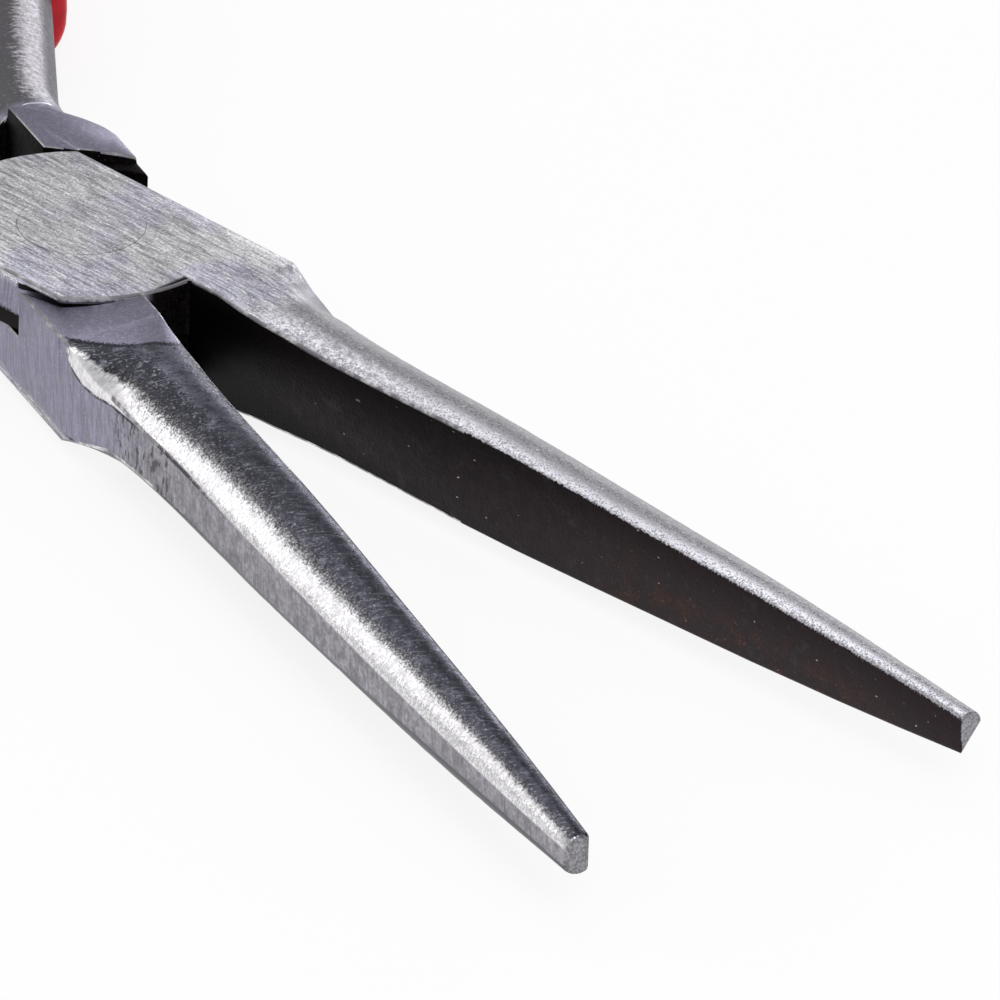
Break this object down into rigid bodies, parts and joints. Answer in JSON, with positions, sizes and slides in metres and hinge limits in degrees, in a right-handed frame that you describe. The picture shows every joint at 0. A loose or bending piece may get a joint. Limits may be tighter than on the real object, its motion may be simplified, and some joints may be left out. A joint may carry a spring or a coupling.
{
  "type": "needle nose pliers",
  "caption": "Needle nose pliers with long smooth tapering jaws, a lap joint on a flush rivet, leaf return springs and sleeve grips.",
  "frame": {"origin": "on the pivot axis, at the flat underside of the joint", "axes": "+Z along the pivot axis, up; +X along the line that halves the opening, from the pivot towards the jaw tips; +Y towards the upper half's jaw"},
  "size_m": [0.1513, 0.0618, 0.0078],
  "materials": {
    "forged_steel": "ground and polished, brushed on the flat of the joint",
    "rivet_steel": "satin",
    "spring_steel": "bright",
    "grip_vinyl": "glossy, smooth"
  },
  "bodies": {
    "lower_half_body": {"lower_half": "forged_steel", "pivot_rivet": "rivet_steel", "lower_grip": "grip_vinyl", "lower_leaf_spring": "spring_steel", "lower_spring_rivet": "rivet_steel"},
    "upper_half_body": {"upper_half": "forged_steel", "upper_grip": "grip_vinyl", "upper_leaf_spring": "spring_steel", "upper_spring_rivet": "rivet_steel"}
  },
  "joints": [
    {"name": "pivot", "type": "hinge", "parent": "lower_half_body", "child": "upper_half_body", "pos_m": [0, 0, 0.0033], "axis": [0, 0, 1], "range_deg": [-20.2, 35], "stiffness_Nm_per_rad": 0.9, "deforming": ["lower_leaf_spring", "upper_leaf_spring"]}
  ]
}
